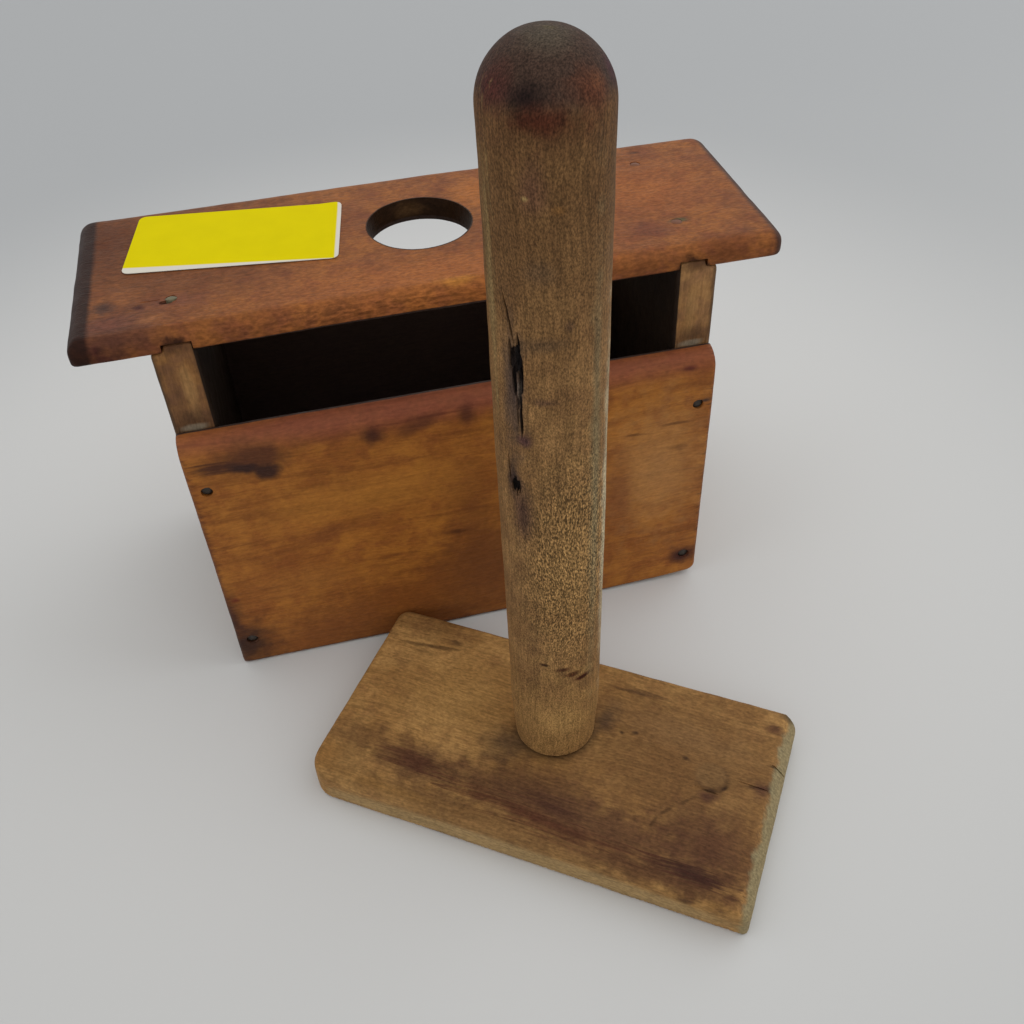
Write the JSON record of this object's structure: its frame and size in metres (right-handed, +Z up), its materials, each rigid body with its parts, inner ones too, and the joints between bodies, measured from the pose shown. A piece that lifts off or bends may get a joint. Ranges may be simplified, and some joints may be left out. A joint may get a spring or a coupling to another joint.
{
  "type": "butter press",
  "caption": "Open-bottomed wooden mould box with an overhanging bored lid, and a separate plunger: a domed round handle on a flat press board.",
  "frame": {"origin": "on the table, in the middle of the ground taken by the box and by the plunger that stands in front of it", "axes": "+X along the box, from its left end to its right end; +Y from the plunger towards the box; +Z up, along the handle and the guide hole"},
  "size_m": [0.18, 0.1914, 0.194],
  "materials": {
    "top_wood": "old worn wood, reddish brown, smooth",
    "end_wood": "old worn wood, tan",
    "side_wood": "old worn wood, orange brown, stained",
    "press_wood": "old worn wood, yellowish brown, stained",
    "handle_wood": "old turned wood, grey brown, dark at the domed end",
    "nail_steel": "dark, rusted",
    "screw_steel": "dull, tarnished",
    "label_paper": "yellow print on white paper, blank"
  },
  "bodies": {
    "mould": {"top_board": "top_wood", "left_end_board": "end_wood", "right_end_board": "end_wood", "front_board": "side_wood", "back_board": "side_wood", "top_board_nails": "nail_steel", "front_board_nails": "nail_steel", "back_board_nails": "nail_steel", "price_label": "label_paper"},
    "plunger": {"press_board": "press_wood", "handle": "handle_wood", "handle_screw": "screw_steel"}
  },
  "joints": [
    {"name": "press_slide", "type": "slide", "parent": "mould", "child": "plunger", "axis": [0, 0, 1], "range_m": [0, 0.098]}
  ]
}
